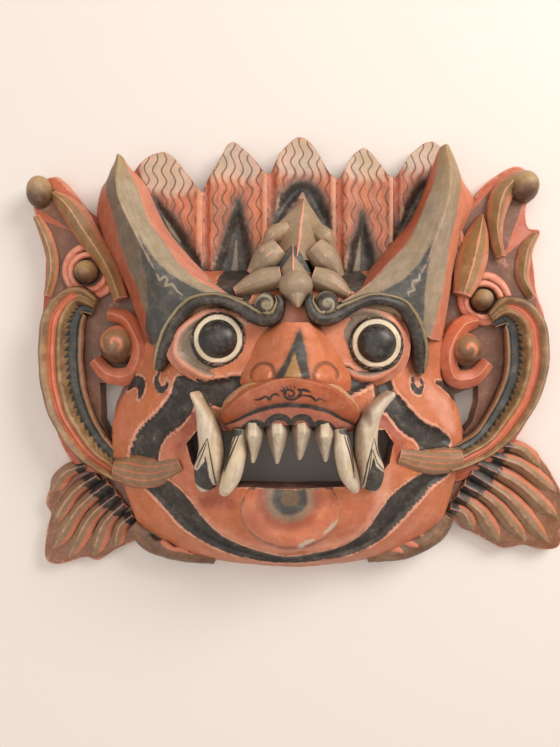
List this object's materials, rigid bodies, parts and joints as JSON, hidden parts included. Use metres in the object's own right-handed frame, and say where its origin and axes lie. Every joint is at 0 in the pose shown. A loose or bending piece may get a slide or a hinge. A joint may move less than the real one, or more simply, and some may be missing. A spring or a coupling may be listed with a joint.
{
  "type": "barong mask",
  "caption": "Carved wooden demon mask with horns, a leaf crown, bulging eyes, fangs and pierced scroll ears, hollowed behind, for hanging on a wall.",
  "frame": {"origin": "middle of the mask's plan, on the flat back rim that it lies on", "axes": "+Z out of the face, +Y towards the crown, +X towards the viewer's right"},
  "size_m": [0.31, 0.2454, 0.09],
  "materials": {
    "painted_wood": "satin paint in orange-red, black, olive-gold and bone over carved wood, worn at the edges"
  },
  "bodies": {
    "root": {"mask": "painted_wood"}
  },
  "joints": []
}
